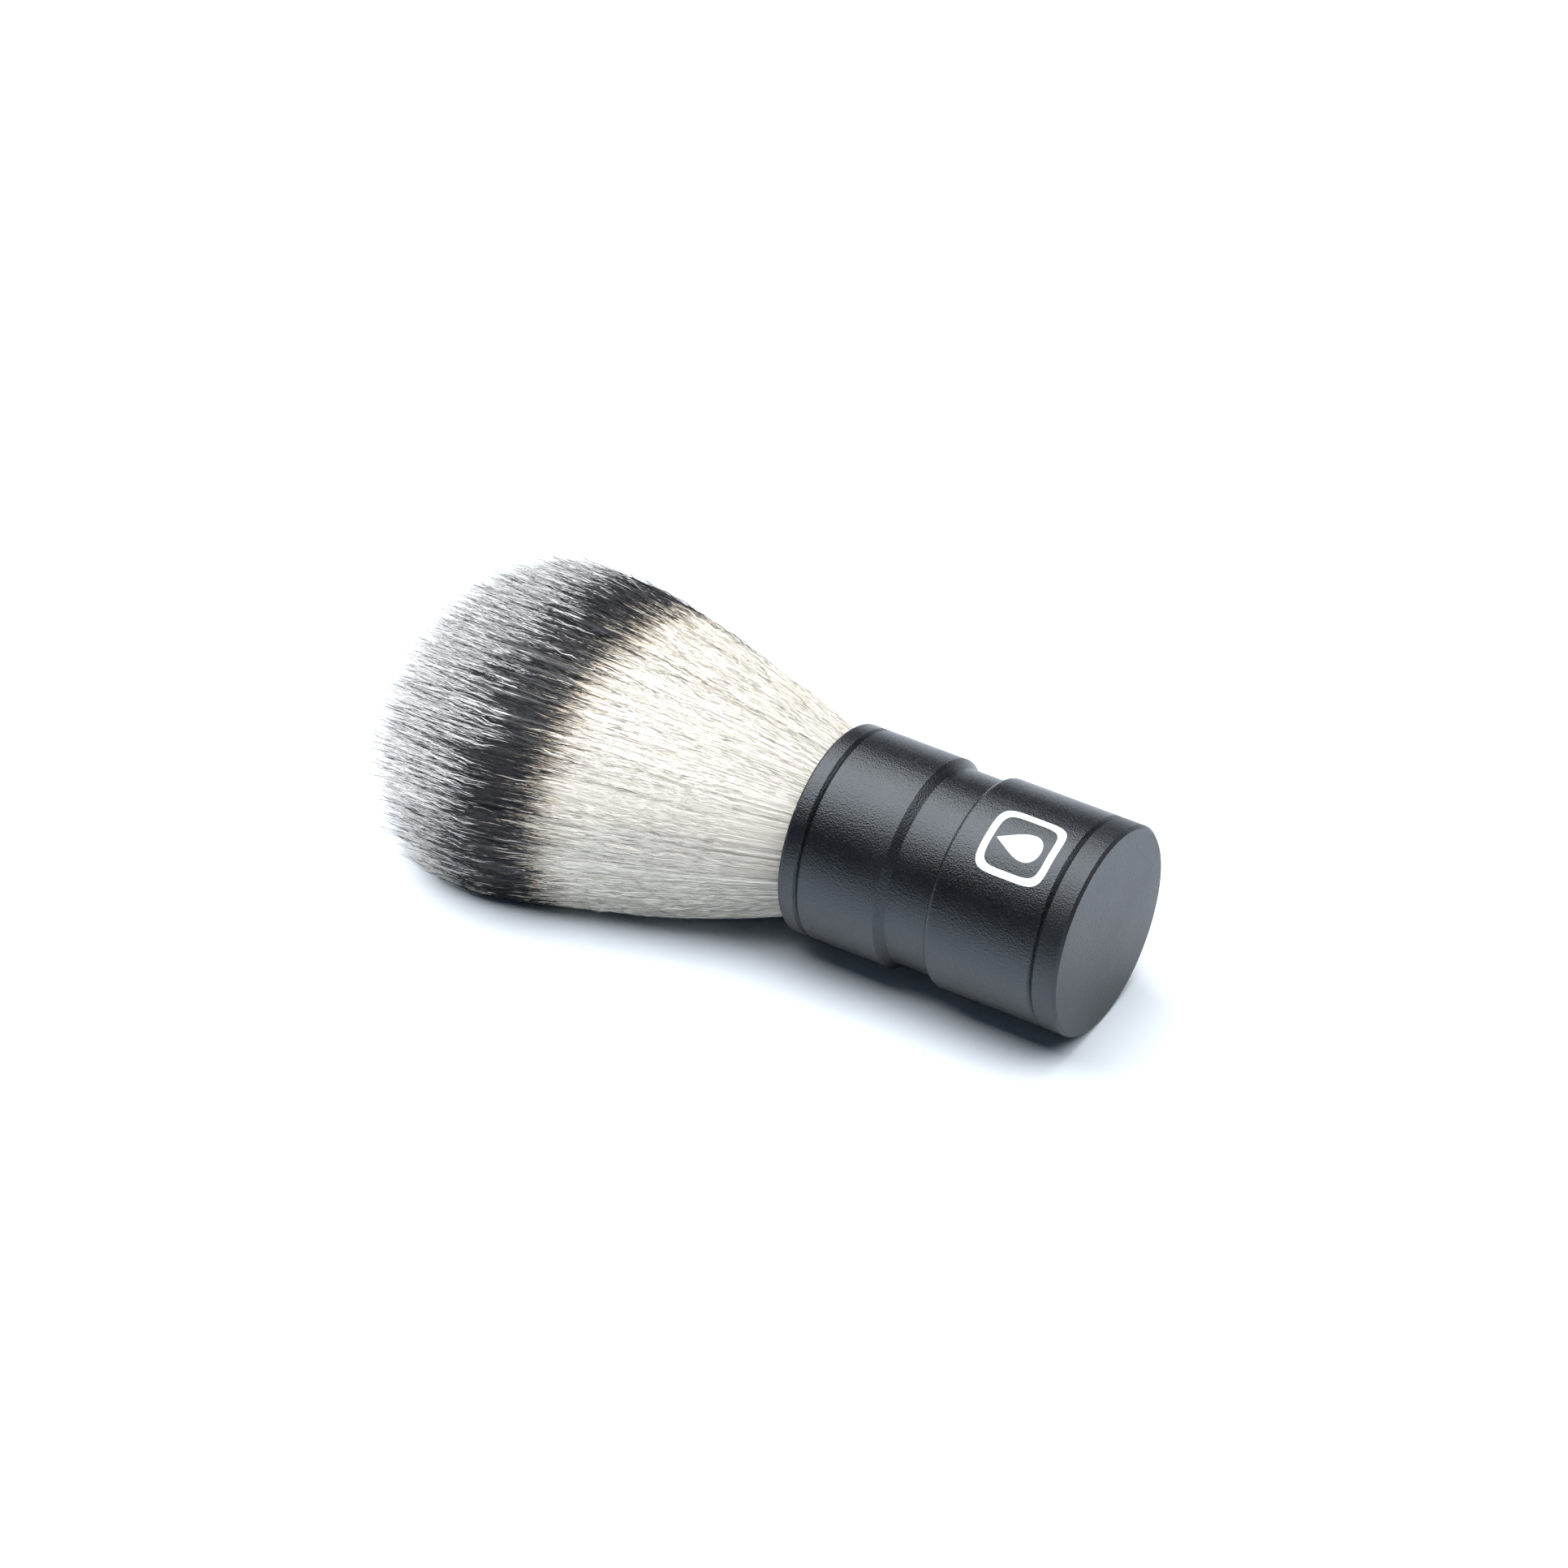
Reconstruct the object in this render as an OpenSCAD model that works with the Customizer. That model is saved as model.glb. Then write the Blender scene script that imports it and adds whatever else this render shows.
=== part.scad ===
// Shaving brush lying on its side: a turned aluminium handle of two screwed
// barrels with a ballast core, a screw-in base cap, and a screw-in collar that
// carries the potted knot of synthetic fibres.
// +Z is up, the brush lies along X, the fibre tips point to -X and the base
// face points to +X. The origin is on the floor under the middle of the brush.

/* [Handle] */
// Outside diameter of the two barrels, the cap and the collar
handle_d = 31; // [31:0.5:34]
// Length of the handle from the base face to the rim plane
handle_len = 44; // [44:0.5:50]
// Visible length of the base cap
cap_len = 4; // [3.5:0.1:5]
// Visible length of the front collar
collar_len = 2.9; // [2.6:0.1:4]
// Distance from the base face to the waist
waist_start = 20.9; // [20.5:0.1:22]
// Length of the straight waist
waist_len = 6.45; // [5:0.05:8]
// Depth of the waist below the barrels
waist_depth = 1; // [0.6:0.1:1.2]
// Axial length of the sloping shoulder before the waist
shoulder_len = 1.25; // [0.8:0.05:1.6]
// Rounding of the rear barrel's front edge
shoulder_round = 0.9; // [0.5:0.1:1]

/* [Seams and edges] */
// Depth of the V groove at each screwed seam
groove_depth = 0.36; // [0.3:0.02:0.4]
// Chamfer of the outer edge of the base face
base_edge = 0.45; // [0.3:0.05:0.5]
// Rounding of the rim's lip
lip_round = 0.6; // [0.3:0.1:0.7]

/* [Screwed joints] */
// Outside radius of the base cap's screw spigot
cap_thread_r = 12; // [11.5:0.1:12]
// Outside radius of the collar's screw spigot
collar_thread_r = 13.2; // [13:0.1:13.3]
// Outside radius of the front barrel's rear spigot
core_thread_r = 12.5; // [12.3:0.1:12.6]
// Radial running clearance of a screwed joint
thread_clear = 0.06; // [0.04:0.01:0.1]
// Wire radius of the two seam O-rings
seal_r = 0.5; // [0.45:0.05:0.55]

/* [Knot] */
// Outside radius of the nylon cup
cup_r = 12.4; // [12.2:0.1:12.5]
// Wall thickness of the nylon cup
cup_wall = 0.7; // [0.6:0.1:0.9]
// Radius of the bound fibre root
root_r = 11; // [10.6:0.1:11.1]
// Radius of the collar's open mouth
mouth_r = 14.1; // [14:0.1:14.3]

/* [Fibre tuft] */
// Free length of the fibres past the rim plane
loft = 66; // [60:1:70]
// Radius of the tuft where it leaves the mouth
tuft_start_r = 12.7; // [12:0.1:12.9]
// Half width of the splayed tuft
tuft_half_w = 27.1; // [22:0.1:30]
// Height of the tuft above the axis
tuft_top = 19.4; // [18:0.1:24]
// Depth that the tuft would reach below the axis with no floor
tuft_drop = 32.9; // [22:0.1:36]
// Distance from the rim plane to the fullest section
belly_at = 44.8; // [38:0.1:48]
// Squareness of the domed tips
dome_power = 3.05; // [2:0.05:4]
// Clearance between the tuft and the floor
floor_gap = 0.15; // [0.1:0.05:0.3]

/* [Hidden] */
ANODISED = [0.07, 0.075, 0.085];
RUBBER = [0.05, 0.05, 0.05];
FIBRE = [0.93, 0.9, 0.83];

R = handle_d / 2;
total_len = handle_len + loft;
x_base = total_len / 2;
waist_r = R - waist_depth;
waist_end = waist_start + waist_len;
barrel_start = waist_end + shoulder_len;
collar_seam = handle_len - collar_len;
// half width of a seam's V groove, and the fine line turned beside it
groove_half = 0.38;
line_w = 0.1;
line_depth = 0.07;
// chamfers on the inside pieces, and the radial play of a pushed-in piece
edge = 0.5;
small_edge = 0.3;
push_fit = 0.05;

// inside of the rear barrel, as distances from the base face
cap_floor = 3;
cap_recess_r = 9;
cap_thread_len = 5.5;
cap_thread_end = cap_len + cap_thread_len;
chamber_end = 15.5;

// inside of the front barrel
core_bore_r = 10.3;
core_floor = 24;
web_seat = 26.4;
socket_floor = 30.2;
counterbore_r = 4.3;
seat_gap = 0.1;
core_seal_at = 19.3;
core_seal_r = 0.5;
core_seal_play = 0.02;
core_slack = 0.03;

// ballast and its M4 screw
slug_rear_r = 11.6;
slug_front_r = 10;
slug_start = 10.4;
slug_step = chamber_end - 0.2;
pad_r = 8.7;
pad_start = cap_floor + 0.3;
screw_r = 2;
screw_hole_r = 2.2;
screw_tip = 14;
head_r = 3.5;
head_h = 2.8;
hex_r = 1.45;
hex_depth = 1.4;
washer_r = 3.9;
washer_h = 0.8;

// knot unit
gasket_h = 1;
gasket_hole_r = 4.9;
cup_bottom = socket_floor + gasket_h + 0.2;
cup_floor = 1.2;
cup_inner_r = cup_r - cup_wall;
collar_ledge = collar_seam + 0.8;
cup_flange_r = mouth_r - 0.2;
cup_flange_h = 0.6;
collar_spigot_end = cup_bottom + 2;
resin_top = 38.2;
root_bottom = 34;
root_slack = 0.1;
wrap_r = 0.28;
wrap_pitch = 0.6;
wrap_gap = 0.02;
first_wrap_at = resin_top + 0.4;
wraps = 4;

// the tuft sways about a point just past the rim plane, on a ball-shaped seat
sway_at = handle_len + 0.2;
root_ball_r = 13;
tuft_seat_r = 13.4;
tuft_rim_r = 13.25;
root_edge_angle = 80;
// how far each side of the tuft bulges past a straight flare
side_bulge = 0.112;
top_bulge = 0.096;
drop_bulge = 0.061;

ROUND = 128;
WIRE_ROUND = 24;
ARC_STEPS = 6;
BALL_STEPS = 12;
SEAT_STEPS = 9;
RING_POINTS = 48;
SIDE_STEP = 5;
DOME_STEP = 9;

// Points on a quarter of an ellipse round (r, s), from angle a0 to a1.
function arc(r, s, rr, rs, a0, a1, steps = ARC_STEPS) =
    [for (i = [0:steps]) let (a = a0 + (a1 - a0) * i / steps)
        [r + rr * cos(a), s + rs * sin(a)]];

// Revolves an outline of [radius, distance from the base face] points.
module turned(outline) {
    translate([x_base, 0, R]) rotate([0, -90, 0])
        rotate_extrude($fn = ROUND) polygon(outline);
}

// The chamfered edge of the piece in front of a seam.
function front_edge(seam) = [[R - groove_depth, seam], [R, seam + groove_half]];

// The edge of the piece behind a seam: a fine line, then the chamfer.
function rear_edge(seam) =
    [[R, seam - groove_half - line_w], [R - line_depth, seam - groove_half - line_w / 2],
     [R, seam - groove_half], [R - groove_depth, seam]];

// A ring of round section at distance s from the base face.
module o_ring(ring_r, s, wire_r) {
    translate([x_base - s, 0, R]) rotate([0, -90, 0])
        rotate_extrude($fn = ROUND) translate([ring_r, 0]) circle(wire_r, $fn = WIRE_ROUND);
}

module rear_barrel() {
    color(ANODISED)
    turned(concat(
        [[cap_thread_r + thread_clear, cap_len + 2 * seal_r + 2 * seat_gap],
         [seal_pocket(cap_thread_r), cap_len + 2 * seal_r + 2 * seat_gap],
         [seal_pocket(cap_thread_r), cap_len]],
        front_edge(cap_len),
        arc(R - shoulder_round, waist_start - shoulder_round,
            shoulder_round, shoulder_round, 0, 90),
        [[core_thread_r + core_slack, waist_start],
         [core_thread_r + core_slack, chamber_end],
         [cap_thread_r + thread_clear, chamber_end]]));
}

// Radius of the pocket that holds a seam O-ring round a spigot.
function seal_pocket(spigot_r) = spigot_r + 2 * thread_clear + 2 * seal_r + thread_clear;

module front_barrel() {
    seal_seat = core_thread_r - 2 * core_seal_r - 3 * core_seal_play;
    seal_half = core_seal_r + seat_gap;
    color(ANODISED)
    turned(concat(
        [[core_bore_r, chamber_end],
         [core_thread_r, chamber_end],
         [core_thread_r, core_seal_at - seal_half],
         [seal_seat, core_seal_at - seal_half],
         [seal_seat, core_seal_at + seal_half],
         [core_thread_r, core_seal_at + seal_half],
         [core_thread_r, waist_start],
         [waist_r, waist_start],
         [waist_r, waist_end],
         [R, barrel_start]],
        rear_edge(collar_seam),
        [[seal_pocket(collar_thread_r), collar_seam],
         [seal_pocket(collar_thread_r), collar_seam - 2 * seal_r - 2 * seat_gap],
         [collar_thread_r + thread_clear, collar_seam - 2 * seal_r - 2 * seat_gap],
         [collar_thread_r + thread_clear, socket_floor],
         [counterbore_r, socket_floor],
         [counterbore_r, web_seat],
         [screw_hole_r, web_seat],
         [screw_hole_r, core_floor],
         [core_bore_r, core_floor]]));
}

module barrel_seal() {
    color(RUBBER)
    o_ring(core_thread_r - core_seal_r - core_seal_play, core_seal_at, core_seal_r);
}

module ballast_slug() {
    color([0.72, 0.58, 0.3])
    turned([[0, slug_start], [slug_rear_r - edge, slug_start],
            [slug_rear_r, slug_start + edge], [slug_rear_r, slug_step],
            [slug_front_r, slug_step], [slug_front_r, core_floor - edge],
            [slug_front_r - edge, core_floor], [screw_r, core_floor],
            [screw_r, screw_tip], [0, screw_tip]]);
}

module ballast_screw() {
    head_seat = web_seat + washer_h;
    color([0.75, 0.75, 0.76])
    difference() {
        turned([[0, screw_tip], [screw_r, screw_tip], [screw_r, head_seat],
                [head_r, head_seat], [head_r, head_seat + head_h - small_edge],
                [head_r - small_edge, head_seat + head_h], [0, head_seat + head_h]]);
        translate([x_base - head_seat - head_h + hex_depth, 0, R]) rotate([0, -90, 0])
            cylinder(r = hex_r, h = hex_depth + 1, $fn = 6);
    }
}

module spring_washer() {
    color([0.6, 0.6, 0.62])
    turned([[screw_hole_r, web_seat], [washer_r, web_seat],
            [washer_r, web_seat + washer_h], [screw_hole_r, web_seat + washer_h]]);
}

module damping_pad() {
    color([0.12, 0.12, 0.12])
    turned([[0, pad_start], [pad_r - edge, pad_start], [pad_r, pad_start + edge],
            [pad_r, slug_start], [0, slug_start]]);
}

module knot_gasket() {
    color([0.25, 0.1, 0.08])
    turned([[gasket_hole_r, socket_floor], [cup_r, socket_floor],
            [cup_r, socket_floor + gasket_h], [gasket_hole_r, socket_floor + gasket_h]]);
}

module base_cap() {
    color(ANODISED)
    turned(concat(
        [[0, 0], [R - base_edge, 0], [R, base_edge]],
        rear_edge(cap_len),
        [[cap_thread_r, cap_len], [cap_thread_r, cap_thread_end - edge],
         [cap_thread_r - edge, cap_thread_end], [cap_recess_r, cap_thread_end],
         [cap_recess_r, cap_floor], [0, cap_floor]]));
}

module base_seal() {
    color(RUBBER)
    o_ring(cap_thread_r + thread_clear + seal_r, cap_len + seat_gap + seal_r, seal_r);
}

module front_collar() {
    color(ANODISED)
    turned(concat(
        [[collar_thread_r, collar_spigot_end],
         [collar_thread_r, collar_seam]],
        front_edge(collar_seam),
        arc(R - lip_round, handle_len - lip_round, lip_round, lip_round, 0, 90),
        arc(mouth_r + lip_round, handle_len - lip_round, lip_round, lip_round, 90, 180),
        [[mouth_r, collar_ledge],
         [cup_r + push_fit, collar_ledge],
         [cup_r + push_fit, collar_spigot_end]]));
}

module collar_seal() {
    color(RUBBER)
    o_ring(collar_thread_r + thread_clear + seal_r, collar_seam - seat_gap - seal_r, seal_r);
}

module knot_cup() {
    color([0.85, 0.85, 0.82])
    turned([[0, cup_bottom], [cup_r - edge, cup_bottom], [cup_r, cup_bottom + edge],
            [cup_r, collar_ledge], [cup_flange_r, collar_ledge],
            [cup_flange_r, collar_ledge + cup_flange_h],
            [cup_inner_r + small_edge, collar_ledge + cup_flange_h],
            [cup_inner_r, collar_ledge + cup_flange_h - small_edge],
            [cup_inner_r, cup_bottom + cup_floor], [0, cup_bottom + cup_floor]]);
}

module knot_resin() {
    color([0.8, 0.68, 0.42])
    turned([[0, cup_bottom + cup_floor], [cup_inner_r, cup_bottom + cup_floor],
            [cup_inner_r, resin_top], [root_r, resin_top],
            [root_r, root_bottom], [0, root_bottom]]);
}

module knot_binding() {
    color([0.9, 0.88, 0.8])
    for (i = [0:wraps - 1])
        o_ring(root_r + wrap_r + wrap_gap, first_wrap_at + i * wrap_pitch, wrap_r);
}

module bristle_root() {
    color(FIBRE)
    turned(concat(
        [[0, root_bottom], [root_r, root_bottom],
         [root_r, resin_top + (wraps + 1) * wrap_pitch],
         [cup_inner_r - root_slack, collar_ledge + cup_flange_h]],
        arc(0, sway_at, root_ball_r, root_ball_r, 90 - root_edge_angle, 90, BALL_STEPS)));
}

// Radius of the tuft in one direction at distance u past the rim plane: it
// flares from the mouth to the belly with a slight bulge.
function flare(u, full_r, bulge) =
    let (t = u / belly_at)
    tuft_start_r + (full_r - tuft_start_r) * t + bulge * u * (1 - t);

// One ring of the tuft: distance u past the rim plane, dome factor f. The upper
// half is an ellipse, and the lower half stops on the floor.
function tuft_ring(u, f) =
    let (at = min(u, belly_at), side = f * flare(at, tuft_half_w, side_bulge),
         top = f * flare(at, tuft_top, top_bulge),
         drop = f * flare(at, tuft_drop, drop_bulge))
    [for (i = [0:RING_POINTS - 1]) let (a = 360 * i / RING_POINTS)
        [x_base - handle_len - u, side * cos(a),
         R + (sin(a) > 0 ? top * sin(a) : max(drop * sin(a), floor_gap - R))]];

// One ring of the ball-shaped seat at the tuft's root, at an angle off the axis.
function seat_ring(tilt) =
    let (r = tuft_seat_r * sin(tilt))
    [for (i = [0:RING_POINTS - 1]) let (a = 360 * i / RING_POINTS)
        [x_base - sway_at - tuft_seat_r * cos(tilt), r * cos(a), R + r * sin(a)]];

module bristle_tuft() {
    rim_tilt = asin(tuft_rim_r / tuft_seat_r);
    seat_rings = [for (i = [1:SEAT_STEPS]) seat_ring(rim_tilt * i / SEAT_STEPS)];
    side_rings = [for (u = [SIDE_STEP:SIDE_STEP:belly_at - SIDE_STEP / 2]) tuft_ring(u, 1)];
    dome_rings = [for (a = [0:DOME_STEP:90 - DOME_STEP])
        tuft_ring(belly_at + (loft - belly_at) * pow(sin(a), 2 / dome_power),
                  pow(cos(a), 2 / dome_power))];
    rings = concat(seat_rings, side_rings, dome_rings);
    last = len(rings) * RING_POINTS;
    points = concat([for (ring = rings) for (p = ring) p],
        [[x_base - sway_at - tuft_seat_r, 0, R], [x_base - handle_len - loft, 0, R]]);
    n = RING_POINTS;
    walls = [for (k = [0:len(rings) - 2]) for (i = [0:n - 1]) let (j = (i + 1) % n)
        for (face = [[k * n + i, k * n + j, (k + 1) * n + j],
                     [k * n + i, (k + 1) * n + j, (k + 1) * n + i]]) face];
    root_end = [for (i = [0:n - 1]) [last, (i + 1) % n, i]];
    tip_end = [for (i = [0:n - 1]) [last + 1, last - n + i, last - n + (i + 1) % n]];
    color(FIBRE)
    polyhedron(points, concat(walls, root_end, tip_end), convexity = 4);
}

front_barrel();
rear_barrel();
barrel_seal();
ballast_slug();
ballast_screw();
spring_washer();
damping_pad();
knot_gasket();
base_cap();
base_seal();
front_collar();
collar_seal();
knot_cup();
knot_resin();
knot_binding();
bristle_root();
bristle_tuft();
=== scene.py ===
"""Shaving brush: the looks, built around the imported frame.

The turned handle pieces are the frame's own nodes with richer finishes. The fibre tuft is new:
an inner core, a shell of full-length fibres, a dense field of fibre ends and a few strays, all
laid along one flow that leaves the handle's mouth and fans out. A printed mark sits on the rear
barrel. Every length is in metres.
"""

import logging
import math
from dataclasses import dataclass
from enum import Enum
from functools import cache

import bpy
import numpy as np
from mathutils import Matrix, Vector


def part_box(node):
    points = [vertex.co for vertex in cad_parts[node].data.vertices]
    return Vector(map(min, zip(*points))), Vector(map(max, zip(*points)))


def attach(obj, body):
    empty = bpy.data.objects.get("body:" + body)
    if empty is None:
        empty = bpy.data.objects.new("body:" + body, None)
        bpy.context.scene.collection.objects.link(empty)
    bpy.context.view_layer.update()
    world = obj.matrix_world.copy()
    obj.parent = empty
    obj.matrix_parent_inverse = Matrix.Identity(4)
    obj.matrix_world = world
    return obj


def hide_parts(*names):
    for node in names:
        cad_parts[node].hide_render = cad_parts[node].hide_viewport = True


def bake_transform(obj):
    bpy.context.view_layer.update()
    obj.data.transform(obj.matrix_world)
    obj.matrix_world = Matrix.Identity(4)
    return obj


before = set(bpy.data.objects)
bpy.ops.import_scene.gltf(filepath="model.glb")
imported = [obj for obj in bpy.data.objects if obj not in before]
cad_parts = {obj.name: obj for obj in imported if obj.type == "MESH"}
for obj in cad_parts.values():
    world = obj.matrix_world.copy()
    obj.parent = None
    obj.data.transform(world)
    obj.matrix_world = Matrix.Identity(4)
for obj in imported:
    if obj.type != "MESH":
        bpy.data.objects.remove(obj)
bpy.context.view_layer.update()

LOG = logging.getLogger("shaving_brush")
MM = 0.001
Colour = tuple[float, float, float]
UV_NAME = "OFBake"
FIBRE_KINDS = 256
UV_REACH = 80 * MM
GOLDEN_ANGLE = 2.399963
SECOND_PHASE = 7919
KINDS_A_COLUMN = 8
OUTLINE_POINTS = 96


# --------------------------------------------------------------------------- helpers

def deselect_all() -> None:
    """Leaves object mode with nothing selected, so that an operator acts on new pieces only."""
    if bpy.context.object and bpy.context.object.mode != "OBJECT":
        bpy.ops.object.mode_set(mode="OBJECT")
    bpy.ops.object.select_all(action="DESELECT")


def face_outward() -> None:
    """Turns the faces of the active piece outward, and leaves it in object mode."""
    bpy.ops.object.mode_set(mode="EDIT")
    bpy.ops.mesh.select_all(action="SELECT")
    bpy.ops.mesh.normals_make_consistent(inside=False)
    bpy.ops.object.mode_set(mode="OBJECT")


def wire(tree: bpy.types.NodeTree, *runs: tuple) -> None:
    """Links nodes in a tree.

    Args:
        tree: The tree.
        runs: For each link, a node, its output, the next node and its input.
    """
    for source, output, target, socket in runs:
        tree.links.new(source.outputs[output], target.inputs[socket])


def smoothstep(t: np.ndarray) -> np.ndarray:
    """An eased 0 to 1 ramp of t."""
    t = np.clip(t, 0.0, 1.0)
    return t * t * (3.0 - 2.0 * t)


class Shader:
    """A material's node tree, with short calls to add, link and dress its nodes."""

    def __init__(self, name: str) -> None:
        """Starts a material whose tree holds one Principled shader and its output.

        Args:
            name: The material's name.
        """
        self.material = bpy.data.materials.new(name)
        self.material.use_nodes = True
        self.tree = self.material.node_tree
        self.nodes = self.tree.nodes
        self.principled = self.nodes["Principled BSDF"]

    def add(self, kind: str, **settings) -> bpy.types.Node:
        """Adds a node.

        Args:
            kind: The node's type name.
            settings: Attributes of the node, or default values of inputs by name.

        Returns:
            The new node.
        """
        return add_node(self.nodes, kind, **settings)

    def link(self, source: bpy.types.NodeSocket, target: bpy.types.NodeSocket) -> None:
        """Links one socket to another."""
        self.tree.links.new(source, target)

    def feed(self, source: bpy.types.NodeSocket, socket: str) -> None:
        """Links a socket to one of the Principled shader's inputs."""
        self.link(source, self.principled.inputs[socket])

    def constant(self, **values) -> None:
        """Sets plain values on the Principled shader, with underscores for spaces."""
        for key, value in values.items():
            self.principled.inputs[key.replace("_", " ")].default_value = value

    def wear(self, colour: Colour, worn: Colour, roughness: tuple[float, float], scale: float) -> None:
        """Lets colour and roughness drift over the surface, as handling makes them.

        Args:
            colour: The colour where the surface is least handled.
            worn: The colour where it is most handled.
            roughness: The roughness at both ends.
            scale: How fine the drift is, as patches a metre.
        """
        smudge = Effects.place(self, Effects.smudge(), Scale=scale)
        tone = self.add("ShaderNodeMix", data_type="RGBA")
        tone.inputs["A"].default_value = (*colour, 1.0)
        tone.inputs["B"].default_value = (*worn, 1.0)
        rough = self.add("ShaderNodeMapRange", To_Min=roughness[0], To_Max=roughness[1])
        self.link(smudge.outputs["Amount"], tone.inputs["Factor"])
        self.link(smudge.outputs["Amount"], rough.inputs["Value"])
        self.feed(tone.outputs["Result"], "Base Color")
        self.feed(rough.outputs["Result"], "Roughness")

    def emboss(self, height: bpy.types.NodeSocket, strength: float, depth: float) -> None:
        """Feeds a height into the surface's normal.

        Args:
            height: The socket that gives the height, 0 to 1.
            strength: How much of the bump shows.
            depth: The height's full range.
        """
        bump = self.add("ShaderNodeBump", Strength=strength, Distance=depth)
        self.link(height, bump.inputs["Height"])
        self.feed(bump.outputs["Normal"], "Normal")


def add_node(nodes: bpy.types.Nodes, kind: str, **settings) -> bpy.types.Node:
    """Adds a node to any tree.

    Args:
        nodes: The tree's nodes.
        kind: The node's type name.
        settings: Attributes of the node, or default values of inputs by name.

    Returns:
        The new node.
    """
    node = nodes.new(kind)
    for key, value in settings.items():
        if hasattr(node, key):
            setattr(node, key, value)
        else:
            node.inputs[key.replace("_", " ")].default_value = value
    return node


class Effects:
    """Shader node groups that several finishes share, each built once."""

    @staticmethod
    def _start(name: str, inputs: dict[str, float], outputs: tuple[str, ...]):
        """Makes an empty group with float sockets.

        Args:
            name: The group's name.
            inputs: Input names and their default values.
            outputs: Output names.

        Returns:
            The tree, its input node and its output node.
        """
        tree = bpy.data.node_groups.new(name, "ShaderNodeTree")
        for key, value in inputs.items():
            socket = tree.interface.new_socket(key, in_out="INPUT", socket_type="NodeSocketFloat")
            socket.default_value = value
        for key in outputs:
            tree.interface.new_socket(key, in_out="OUTPUT", socket_type="NodeSocketFloat")
        return tree, tree.nodes.new("NodeGroupInput"), tree.nodes.new("NodeGroupOutput")

    @staticmethod
    @cache
    def grain() -> bpy.types.NodeTree:
        """The fine pitted grain of blasted metal or moulded rubber.

        Returns:
            A group with Scale and Contrast inputs that puts out Height and Speck, 0 to 1.
        """
        tree, start, end = Effects._start("grain", {"Scale": 9000.0, "Contrast": 3.0}, ("Height", "Speck"))
        place = add_node(tree.nodes, "ShaderNodeTexCoord")
        fine = add_node(tree.nodes, "ShaderNodeTexNoise", Detail=3.0, Roughness=0.6)
        pits = add_node(tree.nodes, "ShaderNodeTexVoronoi", feature="F1")
        gain = add_node(tree.nodes, "ShaderNodeMath", operation="POWER")
        mix = add_node(tree.nodes, "ShaderNodeMath", operation="MULTIPLY")
        wire(tree,
             (place, "Object", fine, "Vector"), (place, "Object", pits, "Vector"),
             (start, "Scale", fine, "Scale"), (start, "Scale", pits, "Scale"),
             (fine, "Fac", gain, 0), (start, "Contrast", gain, 1),
             (fine, "Fac", mix, 0), (pits, "Distance", mix, 1),
             (mix, 0, end, "Height"), (gain, 0, end, "Speck"))
        return tree

    @staticmethod
    @cache
    def smudge() -> bpy.types.NodeTree:
        """The broad, faint unevenness that handling leaves on a surface.

        Returns:
            A group with a Scale input that puts out Amount, 0 to 1.
        """
        tree, start, end = Effects._start("smudge", {"Scale": 60.0}, ("Amount",))
        place = add_node(tree.nodes, "ShaderNodeTexCoord")
        broad = add_node(tree.nodes, "ShaderNodeTexNoise", Detail=4.0, Roughness=0.55, Distortion=0.4)
        span = add_node(tree.nodes, "ShaderNodeMapRange", From_Min=0.3, From_Max=0.7)
        wire(tree,
             (place, "Object", broad, "Vector"), (start, "Scale", broad, "Scale"),
             (broad, "Fac", span, "Value"), (span, "Result", end, "Amount"))
        return tree

    @staticmethod
    @cache
    def turning() -> bpy.types.NodeTree:
        """Fine rings round the X axis, as a lathe leaves them.

        Returns:
            A group with Pitch and Centre inputs that puts out Height, 0 to 1.
        """
        tree, start, end = Effects._start("turning", {"Pitch": 0.0002, "Centre": 0.0}, ("Height",))
        place = add_node(tree.nodes, "ShaderNodeTexCoord")
        split = add_node(tree.nodes, "ShaderNodeSeparateXYZ")
        rise = add_node(tree.nodes, "ShaderNodeMath", operation="SUBTRACT")
        flat = add_node(tree.nodes, "ShaderNodeCombineXYZ")
        reach = add_node(tree.nodes, "ShaderNodeVectorMath", operation="LENGTH")
        both = add_node(tree.nodes, "ShaderNodeMath", operation="ADD")
        ratio = add_node(tree.nodes, "ShaderNodeMath", operation="DIVIDE")
        turns = add_node(tree.nodes, "ShaderNodeMath", operation="PINGPONG")
        turns.inputs[1].default_value = 1.0
        wire(tree,
             (place, "Object", split, 0), (split, "Z", rise, 0), (start, "Centre", rise, 1),
             (split, "Y", flat, "Y"), (rise, 0, flat, "Z"), (flat, 0, reach, 0),
             (reach, "Value", both, 0), (split, "X", both, 1),
             (both, 0, ratio, 0), (start, "Pitch", ratio, 1),
             (ratio, 0, turns, 0), (turns, 0, end, "Height"))
        return tree

    @staticmethod
    def place(shader: Shader, group: bpy.types.NodeTree, **values: float) -> bpy.types.Node:
        """Puts a group in a material, with its own input values.

        Args:
            shader: The material's tree.
            group: The group to place.
            values: Values for the group's inputs.

        Returns:
            The group's node.
        """
        node = shader.nodes.new("ShaderNodeGroup")
        node.node_tree = group
        for key, value in values.items():
            node.inputs[key].default_value = value
        return node


# --------------------------------------------------------------------------- sizes

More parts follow.
